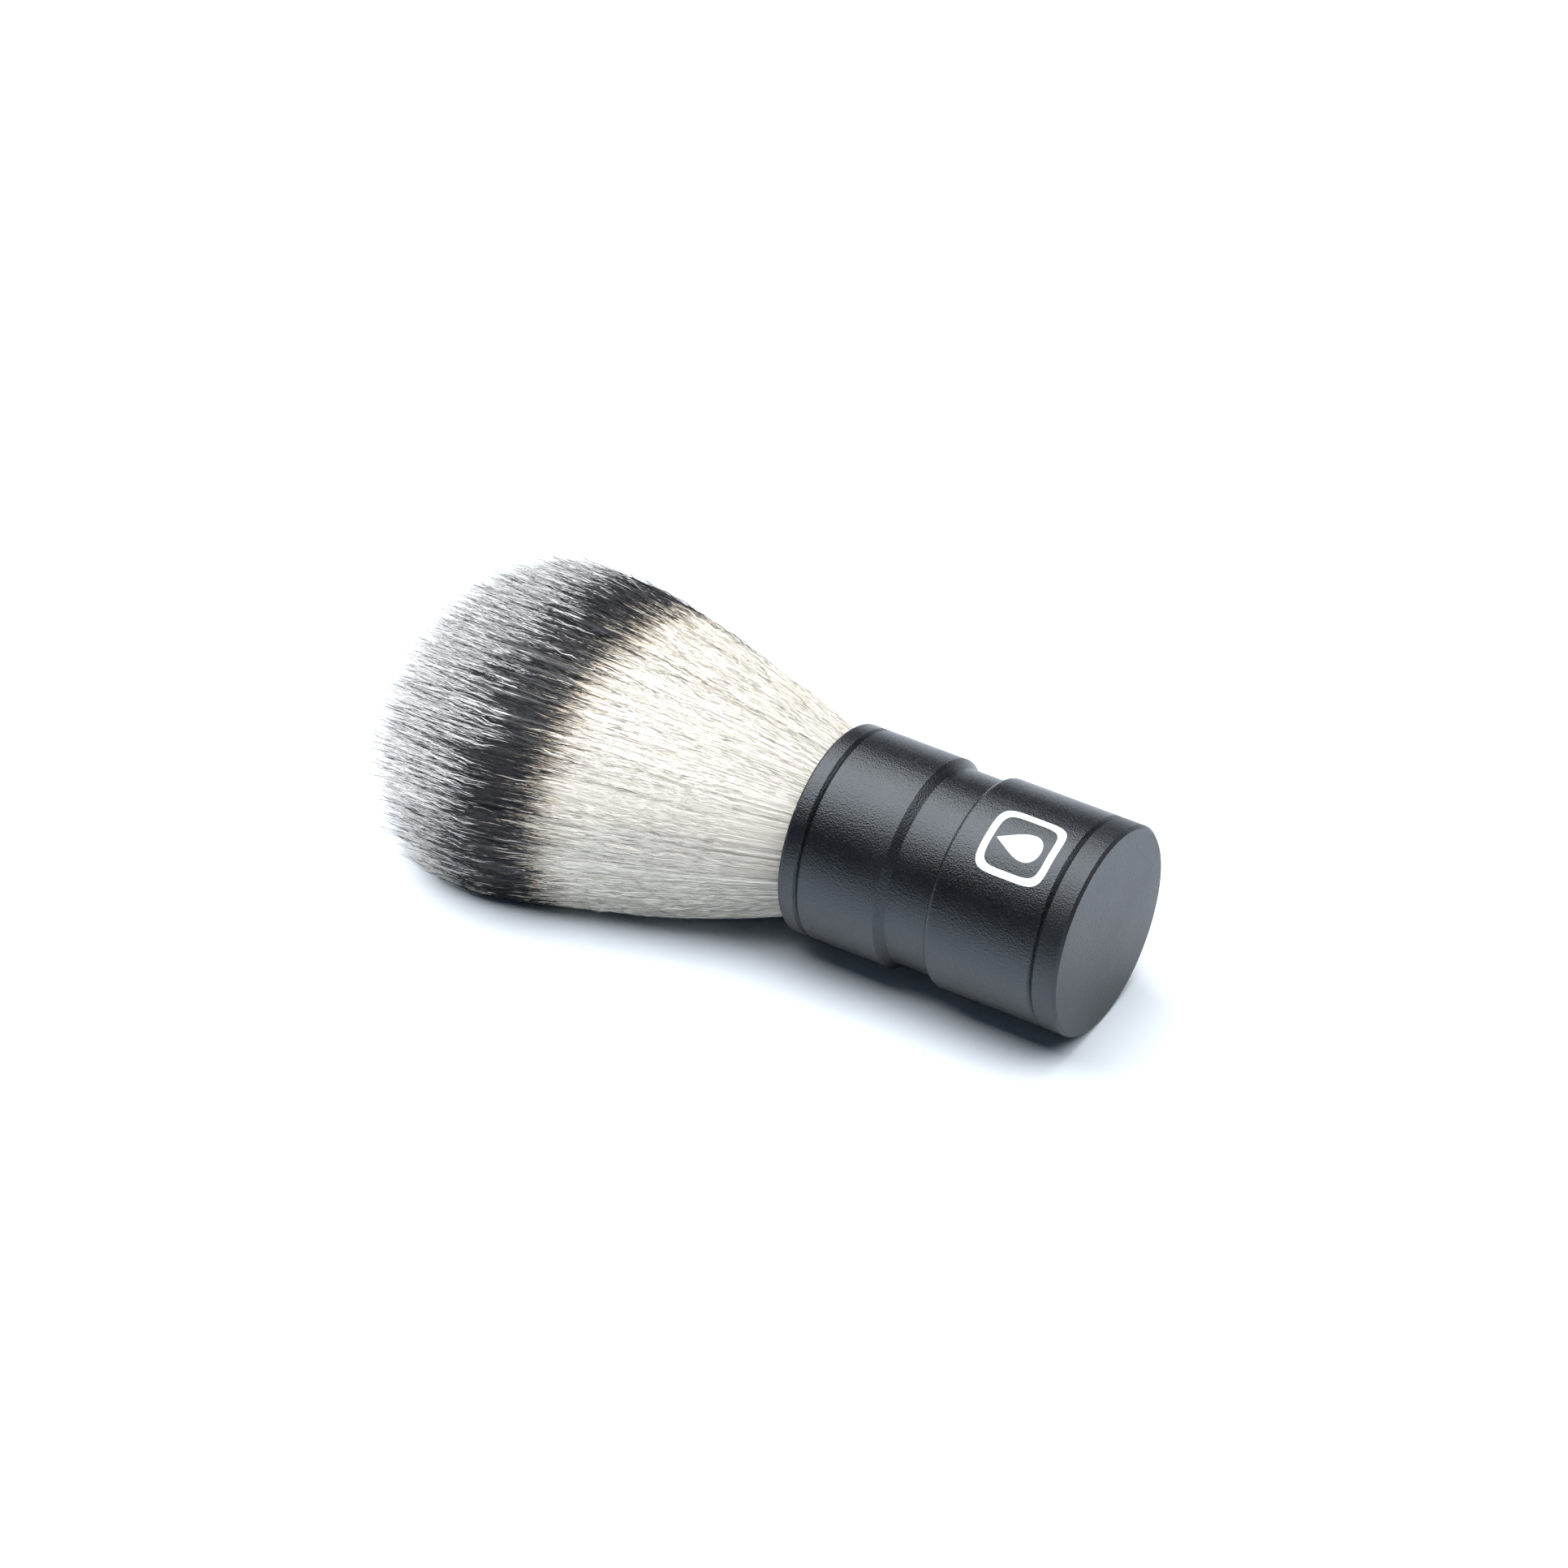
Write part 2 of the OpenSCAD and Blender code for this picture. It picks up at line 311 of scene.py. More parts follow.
@dataclass(frozen=True)
class BrushSizes:
    """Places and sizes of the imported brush, read from the frame's boxes.

    Attributes:
        axis_z: Height of the handle's axis.
        radius: Outside radius of the barrels.
        rim_x: The rim plane, where the fibres leave the handle.
        base_x: The base face.
        tip_x: The furthest fibre end.
        half_width: Half width of the splayed tuft.
        top: Height of the tuft above the axis.
    """

    axis_z: float
    radius: float
    rim_x: float
    base_x: float
    tip_x: float
    half_width: float
    top: float

    @classmethod
    def from_frame(cls) -> "BrushSizes":
        """Reads the sizes from the loaded frame.

        Returns:
            The brush's sizes.
        """
        barrel_low, barrel_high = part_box("rear_barrel")
        collar_low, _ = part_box("front_collar")
        _, cap_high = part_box("base_cap")
        tuft_low, tuft_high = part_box("bristle_tuft")
        axis_z = (barrel_low.z + barrel_high.z) / 2
        return cls(
            axis_z=axis_z,
            radius=(barrel_high.z - barrel_low.z) / 2,
            rim_x=collar_low.x,
            base_x=cap_high.x,
            tip_x=tuft_low.x,
            half_width=tuft_high.y,
            top=tuft_high.z - axis_z,
        )


# --------------------------------------------------------------------------- finishes

class Finish:
    """A look that a material can be made from."""

    def build(self, name: str) -> bpy.types.Material:
        """Makes the material.

        Args:
            name: The material's name.

        Returns:
            The material.
        """
        shader = Shader(name)
        self.paint(shader)
        return shader.material


@dataclass(frozen=True)
class AnodisedFinish(Finish):
    """Blasted and black-anodised aluminium with a fine satin grain."""

    colour: Colour = (0.0016, 0.0021, 0.003)
    tint: Colour = (0.84, 0.92, 1.0)
    index: float = 1.6
    roughness: float = 0.31
    grain_depth: float = 0.13 * MM
    grain_scale: float = 4200.0
    smudge_scale: float = 70.0

    def paint(self, shader: Shader) -> None:
        """Fills the material's tree.

        Args:
            shader: The tree.
        """
        shader.constant(IOR=self.index, Specular_Tint=(*self.tint, 1.0))
        grain = Effects.place(shader, Effects.grain(), Scale=self.grain_scale)
        smudge = Effects.place(shader, Effects.smudge(), Scale=self.smudge_scale)
        tone = shader.add("ShaderNodeValToRGB")
        low, high = tone.color_ramp.elements
        low.position, low.color = 0.1, (*[c * 0.6 for c in self.colour], 1.0)
        high.position, high.color = 0.45, (*[c * 2.2 for c in self.colour], 1.0)
        rough = shader.add("ShaderNodeMapRange", To_Min=self.roughness - 0.03, To_Max=self.roughness + 0.05)
        shader.link(grain.outputs["Speck"], tone.inputs["Fac"])
        shader.link(smudge.outputs["Amount"], rough.inputs["Value"])
        shader.feed(tone.outputs["Color"], "Base Color")
        shader.feed(rough.outputs["Result"], "Roughness")
        shader.emboss(grain.outputs["Height"], 0.6, self.grain_depth)


@dataclass(frozen=True)
class TurnedMetalFinish(Finish):
    """Bare turned metal, such as the brass slug and the steel screw."""

    colour: Colour
    roughness: float = 0.28
    pitch: float = 0.22 * MM
    ring_depth: float = 0.02 * MM
    axis_z: float = 0.0

    def paint(self, shader: Shader) -> None:
        """Fills the material's tree.

        Args:
            shader: The tree.
        """
        shader.constant(Metallic=1.0)
        rings = Effects.place(shader, Effects.turning(), Pitch=self.pitch, Centre=self.axis_z)
        worn = tuple(0.8 * c for c in self.colour)
        shader.wear(self.colour, worn, (self.roughness - 0.06, self.roughness + 0.1), 120.0)
        shader.emboss(rings.outputs["Height"], 0.25, self.ring_depth)


@dataclass(frozen=True)
class MouldedFinish(Finish):
    """Moulded rubber, nylon or cast resin with a faint grain."""

    colour: Colour
    roughness: float = 0.6
    grain_depth: float = 0.03 * MM
    subsurface: float = 0.0
    grain_scale: float = 2600.0

    def paint(self, shader: Shader) -> None:
        """Fills the material's tree.

        Args:
            shader: The tree.
        """
        if self.subsurface:
            shader.constant(Subsurface_Weight=self.subsurface, Subsurface_Scale=0.5 * MM)
        grain = Effects.place(shader, Effects.grain(), Scale=self.grain_scale)
        worn = tuple(min(1.0, 1.25 * c) for c in self.colour)
        shader.wear(self.colour, worn, (self.roughness - 0.08, self.roughness + 0.08), 160.0)
        shader.emboss(grain.outputs["Height"], 0.3, self.grain_depth)


@dataclass(frozen=True)
class FibreFinish(Finish):
    """Dyed synthetic fibre: cream root, tan edge, black band and a pale end.

    The material reads only the fibre's own UV map. U picks one of the fibre kinds, and V is the
    distance back from the fibre's tip, so that the band sits at the same place on every fibre.

    Attributes:
        cream: Colour of the root side.
        tan: Colour of the thin edge between the root side and the band.
        black: Colour of the band.
        pale: Colour of the end.
        pale_from: Length of the pale end on the fibre that has least.
        pale_to: Length of the pale end on the fibre that has most.
        band_end: Where the band stops, back from the tip.
        spread: How far the band's stop moves from fibre to fibre.
        fade: Length over which one colour turns into the next.
        clear: Whether only camera rays meet the fibres.
    """

    cream: Colour = (0.98, 0.93, 0.84)
    tan: Colour = (0.66, 0.55, 0.43)
    black: Colour = (0.012, 0.013, 0.017)
    pale: Colour = (0.93, 0.93, 0.93)
    pale_from: float = 0.0 * MM
    pale_to: float = 9.5 * MM
    band_end: float = 17.5 * MM
    spread: float = 5.0 * MM
    fade: float = 1.8 * MM
    clear: bool = True

    def paint(self, shader: Shader) -> None:
        """Fills the material's tree.

        Args:
            shader: The tree.
        """
        shader.constant(Roughness=0.5, IOR=1.5)
        uv = shader.add("ShaderNodeUVMap", uv_map=UV_NAME)
        split = shader.add("ShaderNodeSeparateXYZ")
        kind = shader.add("ShaderNodeMath", operation="MULTIPLY")
        kind.inputs[1].default_value = float(FIBRE_KINDS)
        whole = shader.add("ShaderNodeMath", operation="FLOOR")
        chance = shader.add("ShaderNodeTexWhiteNoise", noise_dimensions="1D")
        chances = shader.add("ShaderNodeSeparateColor")
        wire(shader.tree,
             (uv, "UV", split, 0), (split, "X", kind, 0), (kind, 0, whole, 0),
             (whole, 0, chance, "W"), (chance, "Color", chances, 0))

        back = shader.add("ShaderNodeMapRange", clamp=False, From_Min=1.0, From_Max=0.0, To_Max=UV_REACH)
        shader.link(split.outputs["Y"], back.inputs["Value"])
        past_pale = self._past(shader, back, chances.outputs["Green"], self.pale_from, self.pale_to)
        near, far = self.band_end - self.spread / 2, self.band_end + self.spread / 2
        past_band = self._past(shader, back, chances.outputs["Red"], near, far)

        in_band = self._step(shader, past_pale, 0.0)
        in_root = self._step(shader, past_band, 0.0)
        in_cream = self._step(shader, past_band, self.fade)
        banded = self._mix(shader, in_band, self.pale, self.black)
        tanned = self._mix(shader, in_root, banded, self.tan)
        coloured = self._mix(shader, in_cream, tanned, self.cream)

        bright = shader.add("ShaderNodeMapRange", To_Min=0.8, To_Max=1.12)
        tint = shader.add("ShaderNodeHueSaturation")
        shader.link(chances.outputs["Blue"], bright.inputs["Value"])
        shader.link(bright.outputs["Result"], tint.inputs["Value"])
        shader.link(coloured, tint.inputs["Color"])
        shader.feed(tint.outputs["Color"], "Base Color")
        if self.clear:
            self._pass_light(shader)

    @staticmethod
    def _pass_light(shader: Shader) -> None:
        """Makes the fibres solid to camera rays only, so that they shade nothing.

        It is a render shortcut that stands in for the light which real fibres pass on.

        Args:
            shader: The material's tree.
        """
        path = shader.add("ShaderNodeLightPath")
        clear = shader.add("ShaderNodeBsdfTransparent")
        choice = shader.add("ShaderNodeMixShader")
        wire(shader.tree,
             (path, "Is Camera Ray", choice, "Fac"), (clear, 0, choice, 1),
             (shader.principled, 0, choice, 2), (choice, 0, shader.nodes["Material Output"], "Surface"))

    @staticmethod
    def _past(shader: Shader, back: bpy.types.Node, chance: bpy.types.NodeSocket,
              least: float, most: float) -> bpy.types.Node:
        """How far a place on the fibre lies past a mark that moves from fibre to fibre.

        Args:
            shader: The material's tree.
            back: The node that gives the distance back from the tip.
            chance: The fibre's random number, 0 to 1.
            least: The mark's place at a random number of 0.
            most: The mark's place at a random number of 1.

        Returns:
            The node whose first output is the distance past the mark.
        """
        mark = shader.add("ShaderNodeMapRange", To_Min=least, To_Max=most)
        past = shader.add("ShaderNodeMath", operation="SUBTRACT")
        shader.link(chance, mark.inputs["Value"])
        shader.link(back.outputs[0], past.inputs[0])
        shader.link(mark.outputs["Result"], past.inputs[1])
        return past

    def _step(self, shader: Shader, value: bpy.types.Node, middle: float) -> bpy.types.NodeSocket:
        """A soft step up at a distance.

        Args:
            shader: The material's tree.
            value: The node that gives the distance.
            middle: Where the step is half way.

        Returns:
            The step's socket, 0 before it and 1 after it.
        """
        step = shader.add("ShaderNodeMapRange", interpolation_type="SMOOTHSTEP")
        step.inputs["From Min"].default_value = middle - self.fade / 2
        step.inputs["From Max"].default_value = middle + self.fade / 2
        shader.link(value.outputs[0], step.inputs["Value"])
        return step.outputs["Result"]

    @staticmethod
    def _mix(shader: Shader, factor: bpy.types.NodeSocket, first, second) -> bpy.types.NodeSocket:
        """Mixes two colours, each a socket or a plain colour.

        Args:
            shader: The material's tree.
            factor: The socket that moves from the first colour to the second.
            first: The colour at 0.
            second: The colour at 1.

        Returns:
            The mixed colour's socket.
        """
        mix = shader.add("ShaderNodeMix", data_type="RGBA")
        shader.link(factor, mix.inputs["Factor"])
        for key, colour in (("A", first), ("B", second)):
            socket = [s for s in mix.inputs if s.name == key and s.type == "RGBA"][0]
            if isinstance(colour, tuple):
                socket.default_value = (*colour, 1.0)
            else:
                shader.link(colour, socket)
        return [s for s in mix.outputs if s.type == "RGBA"][0]


@dataclass(frozen=True)
class PrintFinish(Finish):
    """Thin silver ink with the metal's grain showing through."""

    colour: Colour = (0.86, 0.87, 0.85)

    def paint(self, shader: Shader) -> None:
        """Fills the material's tree.

        Args:
            shader: The tree.
        """
        shader.constant(Roughness=0.5, Metallic=0.0)
        grain = Effects.place(shader, Effects.grain(), Scale=4200.0)
        tone = shader.add("ShaderNodeValToRGB")
        low, high = tone.color_ramp.elements
        low.position, low.color = 0.0, (*[c * 0.75 for c in self.colour], 1.0)
        high.position, high.color = 0.3, (*self.colour, 1.0)
        shader.link(grain.outputs["Speck"], tone.inputs["Fac"])
        shader.feed(tone.outputs["Color"], "Base Color")


@dataclass(frozen=True)
class FloorFinish(Finish):
    """A plain pale studio floor."""

    colour: Colour = (0.79, 0.85, 0.915)

    def paint(self, shader: Shader) -> None:
        """Fills the material's tree.

        Args:
            shader: The tree.
        """
        shader.wear(self.colour, tuple(0.99 * c for c in self.colour), (0.6, 0.6), 3.0)


# --------------------------------------------------------------------------- handle

@dataclass
class Handle:
    """The turned pieces and what they hold, dressed in their finishes.

    Attributes:
        sizes: The brush's sizes.
    """

    sizes: BrushSizes

    def dress(self) -> None:
        """Gives each of the frame's hard nodes its finish."""
        axis_z = self.sizes.axis_z
        finishes = {
            "black_anodised": (AnodisedFinish(), ("front_barrel", "rear_barrel", "front_collar")),
            "base_face_anodised": (AnodisedFinish(roughness=0.4), ("base_cap",)),
            "turned_brass": (TurnedMetalFinish((0.78, 0.6, 0.3), axis_z=axis_z), ("ballast_slug",)),
            "screw_steel": (TurnedMetalFinish((0.6, 0.6, 0.61), axis_z=axis_z),
                            ("ballast_screw", "spring_washer")),
            "seal_rubber": (MouldedFinish((0.02, 0.02, 0.021), 0.55),
                            ("barrel_seal", "base_seal", "collar_seal")),
            "pad_rubber": (MouldedFinish((0.05, 0.05, 0.05), 0.8, 0.08 * MM), ("damping_pad",)),
            "gasket_rubber": (MouldedFinish((0.25, 0.06, 0.04), 0.65), ("knot_gasket",)),
            "cup_nylon": (MouldedFinish((0.74, 0.73, 0.68), 0.4, subsurface=0.3), ("knot_cup",)),
            "potting_resin": (MouldedFinish((0.62, 0.45, 0.18), 0.15, subsurface=0.2), ("knot_resin",)),
            "binding_thread": (MouldedFinish((0.72, 0.68, 0.57), 0.85, 0.1 * MM), ("knot_binding",)),
        }
        for name, (finish, nodes) in finishes.items():
            material = finish.build(name)
            for node in nodes:
                self._give(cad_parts[node], material)
            LOG.info("finish %s on %s", name, ", ".join(nodes))

    @staticmethod
    def _give(piece: bpy.types.Object, material: bpy.types.Material) -> None:
        """Puts one material in a piece's slots."""
        if not piece.material_slots:
            piece.data.materials.append(material)
        for slot in piece.material_slots:
            slot.material = material


class MarkShape(Enum):
    """The outlines that the printed mark is drawn from."""

    FRAME = "rounded square"
    DROP = "water drop"


@dataclass
class PrintedMark:
    """A plain water drop in a rounded square, printed on the rear barrel.

    Attributes:
        sizes: The brush's sizes.
        along: Distance of the mark's middle from the base face.
        turn: Angle of the mark's middle round the axis, up from the near side, in degrees.
        half: Half width of the rounded square.
        line: Width of the frame's line.
        ink: Thickness of the ink.
        standoff: Space between the metal and the ink.
        squareness: How square the frame's corners are, 2 for a circle.
        drop_size: The drop's size, as a share of the frame's half width.
        drop_long: How much longer the drop is than that.
        drop_wide: How much wider it is.
    """

    sizes: BrushSizes
    along: float = 11.3 * MM
    turn: float = 69.5
    half: float = 5.3 * MM
    line: float = 1.05 * MM
    ink: float = 0.02 * MM
    standoff: float = 0.004 * MM
    squareness: float = 5.0
    drop_size: float = 0.52
    drop_long: float = 1.25
    drop_wide: float = 1.15

    def outline(self, shape: MarkShape, inset: float) -> list[tuple[float, float]]:
        """One closed outline of the flat mark.

        Args:
            shape: Which outline to draw.
            inset: How far inside the shape's edge the outline runs.

        Returns:
            The outline's points, along the axis and round it.
        """
        found = []
        for i in range(OUTLINE_POINTS):
            angle = 2 * math.pi * i / OUTLINE_POINTS
            if shape is MarkShape.FRAME:
                size, power = self.half - inset, self.squareness
                c, s = math.cos(angle), math.sin(angle)
                reach = size / (abs(c) ** power + abs(s) ** power) ** (1 / power)
                found.append((reach * c, reach * s))
            else:
                size = self.drop_size * self.half - inset
                width = size * math.sin(angle) * math.sin(angle / 2) ** 1.5
                length = self.drop_long * size * math.cos(angle) + 0.1 * size
                found.append((length, self.drop_wide * width))
        return found

    def build(self) -> bpy.types.Object:
        """Makes the mark as a thin skin that follows the barrel.

        Returns:
            The finished piece, riding on the handle.
        """
        deselect_all()
        bpy.ops.mesh.primitive_circle_add(vertices=OUTLINE_POINTS, radius=self.half, fill_type="NOTHING")
        piece = bpy.context.object
        piece.name = "printed_mark"
        outer = self.outline(MarkShape.FRAME, 0.0)
        for vertex, (a, b) in zip(piece.data.vertices, outer):
            vertex.co = (a, b, 0.0)
        bpy.ops.object.mode_set(mode="EDIT")
        bpy.ops.mesh.select_all(action="SELECT")
        bpy.ops.mesh.extrude_edges_move()
        bpy.ops.object.mode_set(mode="OBJECT")
        inner = self.outline(MarkShape.FRAME, self.line)
        for vertex in piece.data.vertices:
            if vertex.select:
                vertex.co = (*self._partner(vertex.co, outer, inner), 0.0)
        self._add_drop(piece)
        self._wrap(piece)
        solid = piece.modifiers.new("ink", "SOLIDIFY")
        solid.thickness, solid.offset = self.ink, 1.0
        bpy.ops.object.modifier_apply(modifier=solid.name)
        piece.data.materials.append(PrintFinish().build("silver_ink"))
        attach(piece, "handle")
        return piece

    @staticmethod
    def _partner(place: Vector, outer: list[tuple[float, float]],
                 inner: list[tuple[float, float]]) -> tuple[float, float]:
        """Finds the inner outline's point that pairs with a place on the outer one.

        Args:
            place: The place on the outer outline.
            outer: The outer outline.
            inner: The inner outline, with as many points.

        Returns:
            The inner point.
        """
        gaps = [math.hypot(a - place.x, b - place.y) for a, b in outer]
        return inner[gaps.index(min(gaps))]

    def _add_drop(self, piece: bpy.types.Object) -> None:
        """Adds the filled drop in the middle of the frame.

        Args:
            piece: The frame, which the drop is joined to.
        """
        deselect_all()
        bpy.ops.mesh.primitive_circle_add(vertices=OUTLINE_POINTS, radius=self.half, fill_type="TRIFAN")
        drop = bpy.context.object
        rim = self.outline(MarkShape.DROP, 0.0)
        for vertex, (a, b) in zip(drop.data.vertices, rim):
            vertex.co = (a, b, 0.0)
        drop.data.vertices[len(drop.data.vertices) - 1].co = (-0.2 * self.half, 0.0, 0.0)
        piece.select_set(True)
        bpy.context.view_layer.objects.active = piece
        bpy.ops.object.join()

    def _wrap(self, piece: bpy.types.Object) -> None:
        """Subdivides the flat mark and rolls it round the barrel.

        Args:
            piece: The flat mark.
        """
        bpy.ops.object.mode_set(mode="EDIT")
        bpy.ops.mesh.select_all(action="SELECT")
        bpy.ops.mesh.subdivide(number_cuts=3)
        face_outward()
        radius = self.sizes.radius + self.standoff
        middle = math.radians(self.turn)
        for vertex in piece.data.vertices:
            angle = middle + vertex.co.y / radius
            vertex.co = (
                self.sizes.base_x - self.along - vertex.co.x,
                -radius * math.cos(angle),
                self.sizes.axis_z + radius * math.sin(angle),
            )


# --------------------------------------------------------------------------- tuft

class TuftLayer(Enum):
    """The layers of fibre that make up the tuft."""

    SHELL = "tuft_shell"
    ENDS = "tuft_ends"
    STRAYS = "tuft_strays"
    WISPS = "tuft_wisps"


@dataclass
class Strands:
    """A batch of fibres before they become meshes. Each field has one value a fibre.

    Attributes:
        across: Place across the tuft along Y, as a share of the tuft's half width.
        above: Place across the tuft along Z, as a share of the tuft's height or depth.
        start: Distance past the rim plane at which the fibre's mesh starts.
        end: Distance past the rim plane of the fibre's tip.
        thick: Radius of the fibre.
        lift: How far the fibre stands off its place at the tip.
        back_shift: How much further back from the tip the colours start.
        stretch: How fast the colours change along the fibre, 1 for its own true length.
    """

    across: np.ndarray
    above: np.ndarray
    start: np.ndarray
    end: np.ndarray
    thick: np.ndarray
    lift: np.ndarray
    back_shift: np.ndarray
    stretch: np.ndarray

    def part(self, chosen: np.ndarray) -> "Strands":
        """The fibres at the chosen places, as a batch of their own."""
        return Strands(**{key: value[chosen] for key, value in self.__dict__.items()})

    def __len__(self) -> int:
        """How many fibres the batch holds."""
        return len(self.across)


@dataclass
class Tuft:
    """The splayed fibre tuft.

    Attributes:
        sizes: The brush's sizes.
        start_radius: Radius of the tuft where it leaves the mouth.
        drop: Depth that the tuft would reach below the axis with no floor.
        belly_at: Distance from the rim plane to the fullest section.
        dome_power: Squareness of the domed tips.
        floor_gap: Space between the lowest fibres and the floor.
        shell_count: How many full-length fibres cover the sides.
        ends_count: How many fibre ends fill the dome.
        strays_count: How many loose fibres stand off the tuft.
        wisps_count: How many dark fibres lie over the cream ones.
        clump_count: How many clumps the fibres gather in.
        gather: How far a fibre's end leans to the middle of its clump.
        core_reach: Size of the dense inside, as a share of the tuft's size.
        core_depth: How far the inside stops short of the fibre ends.
        core_lag: How far the inside's colours sit back from the fibre ends.
        core_root: Share of the inside's rings that close its root.
        core_dome: Share of the inside's rings before its domed end.
        side_bulge: How far the sides bulge past a straight flare, as a slope at the rim.
        top_bulge: The same for the top.
        drop_bulge: The same for the underside.
        shell_depth: Thickness of the full-length layer, as a share of the tuft's size.
        root_depth: How far the full-length fibres start inside the mouth.
        wisp_shade: Distance back from the tip whose colour the dark fibres have.
        lean_from: Distance past the rim plane at which fibres start to lean to their clump.
        lean_over: Length over which they come to lean in full.
        drift: Sideways drift that a clump shares, as a share of the tuft's size.
        drift_length: Length of one wave of it.
        quiver: Each fibre's own drift, as a share of the tuft's size.
        quiver_length: Length of one wave of it.
        crimp: The least and the most that a fibre zigzags, in millimetres.
        taper: How much of its radius a fibre loses by the tip.
        taper_from: Share of the length at which the taper starts.
        seed: Seed of every random choice.
    """

    sizes: BrushSizes
    start_radius: float = 13.0 * MM
    drop: float = 32.9 * MM
    belly_at: float = 44.8 * MM
    dome_power: float = 3.05
    floor_gap: float = 0.25 * MM
    shell_count: int = 4200
    ends_count: int = 14500
    strays_count: int = 90
    wisps_count: int = 110
    clump_count: int = 2000
    gather: float = 0.45
    core_reach: float = 0.965
    core_depth: float = 8.0 * MM
    core_lag: float = 14.0 * MM
    core_root: float = 0.1
    core_dome: float = 0.55
    side_bulge: float = 0.112
    top_bulge: float = 0.096
    drop_bulge: float = 0.061
    shell_depth: float = 0.055
    root_depth: float = 1.2 * MM
    wisp_shade: float = 14.5 * MM
    lean_from: float = 6 * MM
    lean_over: float = 40 * MM
    drift: float = 0.007
    drift_length: float = 27 * MM
    quiver: float = 0.0035
    quiver_length: float = 9 * MM
    crimp: tuple[float, float] = (0.07, 0.17)
    taper: float = 0.6
    taper_from: float = 0.7
    seed: int = 11

    def __post_init__(self) -> None:
        """Starts the random numbers and the finish that every layer shares."""
        self.random = np.random.default_rng(self.seed)
        self.loft = self.sizes.rim_x - self.sizes.tip_x
        self.material = FibreFinish().build("banded_fibre")
        self.solid_material = FibreFinish(clear=False).build("packed_fibre")
        angle = self.random.uniform(0, 2 * math.pi, self.clump_count)
        reach = 0.985 * np.sqrt(self.random.uniform(0, 1, self.clump_count))
        outer = self.clump_count // 2
        reach[:outer] = self.random.uniform(0.88, 0.985, outer)
        self.clump_across = reach * np.cos(angle)
        self.clump_above = reach * np.sin(angle)

    # the flow of the fibres

    def flare(self, u: np.ndarray, full: float, bulge: float) -> np.ndarray:
        """Size of the tuft in one direction.

        Args:
            u: Distance past the rim plane.
            full: The size at the fullest section.
            bulge: Slope that the flare adds at its start.

        Returns:
            The size at each distance.
        """
        at = np.minimum(u, self.belly_at)
        t = at / self.belly_at
        return self.start_radius + (full - self.start_radius) * t + bulge * at * (1 - t)

    def tip_at(self, reach: np.ndarray) -> np.ndarray:
        """Distance past the rim plane of the tip of a fibre.

        Args:
            reach: The fibre's place from the axis, 0, to the tuft's surface, 1.

        Returns:
            The distance of its tip.
        """
        n = self.dome_power
        share = (1 - np.clip(reach, 0, 1) ** n) ** (1 / n)
        return self.belly_at + (self.loft - self.belly_at) * share

    def place(self, across: np.ndarray, above: np.ndarray, u: np.ndarray) -> np.ndarray:
        """Points on the flow.

        Args:
            across: Share of the tuft's size along Y.
            above: Share of the tuft's size along Z.
            u: Distance past the rim plane.

        Returns:
            The points, with X, Y and Z in the last axis.
        """
        y = across * self.flare(u, self.sizes.half_width, self.side_bulge)
        top = above * self.flare(u, self.sizes.top, self.top_bulge)
        depth = self.sizes.axis_z - self.floor_gap
        sink = np.maximum(-above, 0) * self.flare(u, self.drop, self.drop_bulge) / depth
        low = -depth * sink / (1 + sink ** 8) ** (1 / 8)
        z = np.where(above > 0, top, low) + self.sizes.axis_z
        return np.stack([self.sizes.rim_x - u, y, z], axis=-1)

    # fibres

    def _between(self, low: float, high: float, count: int) -> np.ndarray:
        """Random lengths between two lengths in millimetres."""
        return self.random.uniform(low, high, count) * MM

    def _about(self, middle: float, spread: float, count: int) -> np.ndarray:
        """Random lengths that gather round a length in millimetres."""
        return self.random.normal(middle * MM, spread * MM, count)

    @staticmethod
    def _batch(angle: np.ndarray, reach: np.ndarray, end: np.ndarray, length: np.ndarray,
               thick: np.ndarray, lift: np.ndarray, back_shift: np.ndarray,
               stretch: float = 1.0) -> Strands:
        """Gathers a batch of fibres.

        Args:
            angle: Angle of each fibre round the axis.
            reach: Its place from the axis, 0, to the tuft's surface, 1.
            end: Distance of its tip past the rim plane.
            length: Length of its mesh.
            thick: Its radius.
            lift: How far its tip stands off its place.
            back_shift: How much further back its colours start.
            stretch: How fast the colours change along every fibre.

        Returns:
            The batch.
        """
        return Strands(across=reach * np.cos(angle), above=reach * np.sin(angle), start=end - length,
                       end=end, thick=thick, lift=lift, back_shift=back_shift,
                       stretch=np.full(len(angle), stretch))

    def shell(self) -> Strands:
        """Full-length fibres that cover the sides of the tuft.

        Returns:
            The fibres.
        """
        n = self.shell_count
        angle = self.random.uniform(0, 2 * math.pi, n)
        reach = 0.995 - self.shell_depth * self.random.uniform(0, 1, n) ** 1.3
        tip = self.tip_at(reach) + self._about(0, 1.2, n)
        return self._batch(angle, reach, tip, tip + self.root_depth, self._between(0.05, 0.08, n),
                           np.abs(self._about(0, 0.25, n)), self._about(0, 0.6, n))

    def ends(self) -> Strands:
        """The outer stretch of the fibres that fill the dome.

        Returns:
            The fibres.
        """
        n = self.ends_count
        angle = self.random.uniform(0, 2 * math.pi, n)
        reach = 0.98 * np.sqrt(self.random.uniform(0, 1, n))
        tip = self.tip_at(reach) + self._about(0, 1.7, n)
        return self._batch(angle, reach, tip, self._between(18, 24, n), self._between(0.042, 0.07, n),
                           np.abs(self._about(0, 0.3, n)), self._about(0, 0.6, n))

